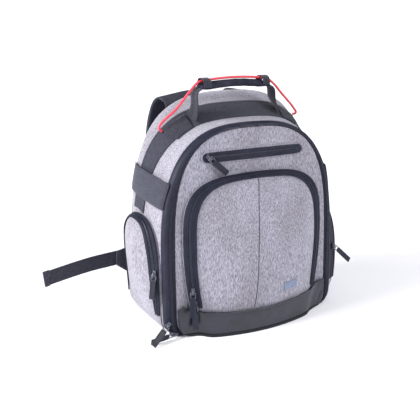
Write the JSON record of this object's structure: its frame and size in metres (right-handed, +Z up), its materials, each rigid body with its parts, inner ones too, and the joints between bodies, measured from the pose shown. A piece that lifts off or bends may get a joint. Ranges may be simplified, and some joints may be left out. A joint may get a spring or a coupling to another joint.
{
  "type": "camera backpack",
  "caption": "Upright camera backpack with a bellows front pocket, side pockets, top handle with a cord, zips with swinging pulls, shoulder straps and waist straps.",
  "frame": {"origin": "on the floor, at the middle of the base", "axes": "+X to the viewer's right when facing the front, +Y towards the back panel, +Z up"},
  "size_m": [0.5442, 0.2553, 0.4116],
  "materials": {
    "heather_cloth": "woven polyester, light grey melange with darker flecks",
    "dark_cloth": "dark blue-grey coated zip tape and cloth",
    "band_cloth": "matte dark grey woven cloth",
    "elastic_band": "ribbed grey elastic webbing",
    "guard_leather": "dark slate imitation leather with a soft sheen",
    "binding_tape": "black binding tape",
    "webbing": "dark woven webbing",
    "padded_mesh": "dark padded cloth",
    "black_plastic": "moulded black plastic",
    "gunmetal": "dark gunmetal zip slider",
    "pull_rubber": "moulded near-black pull tab",
    "red_cord": "braided red cord with a slight gloss"
  },
  "bodies": {
    "bag": {"main_shell": "heather_cloth", "front_panel": "heather_cloth", "front_pocket": "heather_cloth", "side_pocket_left": "heather_cloth", "side_pocket_right": "heather_cloth", "main_zip": "dark_cloth", "pocket_zip": "dark_cloth", "top_pocket_zip": "dark_cloth", "side_zip_left": "dark_cloth", "side_zip_right": "dark_cloth", "handle_grip": "dark_cloth", "centre_band": "band_cloth", "wing_left": "band_cloth", "wing_right": "band_cloth", "elastic_left": "elastic_band", "elastic_right": "elastic_band", "base_guard": "guard_leather", "base_binding": "binding_tape", "handle_patch_left": "webbing", "handle_patch_right": "webbing", "handle_leg_left": "webbing", "handle_leg_right": "webbing", "keeper_left": "webbing", "keeper_right": "webbing", "lower_webbing_left": "webbing", "lower_webbing_right": "webbing", "waist_strap_left": "webbing", "waist_strap_right": "webbing", "back_panel": "padded_mesh", "shoulder_strap_left": "padded_mesh", "shoulder_strap_right": "padded_mesh", "ladder_lock_left": "black_plastic", "ladder_lock_right": "black_plastic", "slider_main_upper": "gunmetal", "slider_main_lower": "gunmetal", "slider_pocket_upper": "gunmetal", "slider_pocket_lower": "gunmetal", "slider_top_pocket": "gunmetal", "slider_side_left": "gunmetal", "slider_side_right": "gunmetal", "red_cord": "red_cord"},
    "tab_main_upper": {"pull_main_upper": "pull_rubber"},
    "tab_main_lower": {"pull_main_lower": "pull_rubber"},
    "tab_pocket_upper": {"pull_pocket_upper": "pull_rubber"},
    "tab_pocket_lower": {"pull_pocket_lower": "pull_rubber"},
    "tab_top_pocket": {"pull_top_pocket": "pull_rubber"},
    "tab_side_left": {"pull_side_left": "pull_rubber"},
    "tab_side_right": {"pull_side_right": "pull_rubber"}
  },
  "joints": [
    {"name": "pull_main_upper_swing", "type": "hinge", "parent": "bag", "child": "tab_main_upper", "pos_m": [-0.16744, -0.07655, 0.02477], "axis": [-0.6277, 0.4586, 0.629], "range_deg": [-1, 125]},
    {"name": "pull_main_lower_swing", "type": "hinge", "parent": "bag", "child": "tab_main_lower", "pos_m": [-0.15793, -0.08023, 0.00808], "axis": [-0.0325, -0.2079, 0.9776], "range_deg": [-34, 2]},
    {"name": "pull_pocket_upper_swing", "type": "hinge", "parent": "bag", "child": "tab_pocket_upper", "pos_m": [-0.12476, -0.08138, 0.08], "axis": [-0.8559, 0.514, -0.0567], "range_deg": [-4, 150]},
    {"name": "pull_pocket_lower_swing", "type": "hinge", "parent": "bag", "child": "tab_pocket_lower", "pos_m": [-0.1215, -0.08473, 0.057], "axis": [-0.8254, 0.5594, -0.0762], "range_deg": [-8, 14]},
    {"name": "pull_top_pocket_swing", "type": "hinge", "parent": "bag", "child": "tab_top_pocket", "pos_m": [-0.0851, -0.04593, 0.29386], "axis": [-0.6726, -0.0954, -0.7339], "range_deg": [-8, 150]},
    {"name": "pull_side_left_swing", "type": "hinge", "parent": "bag", "child": "tab_side_left", "pos_m": [-0.18079, -0.04792, 0.107], "axis": [-0.559, 0.8287, -0.027], "range_deg": [-9, 150]},
    {"name": "pull_side_right_swing", "type": "hinge", "parent": "bag", "child": "tab_side_right", "pos_m": [0.18613, -0.04942, 0.098], "axis": [-0.7396, -0.4484, -0.5019], "range_deg": [-36, 125]}
  ]
}
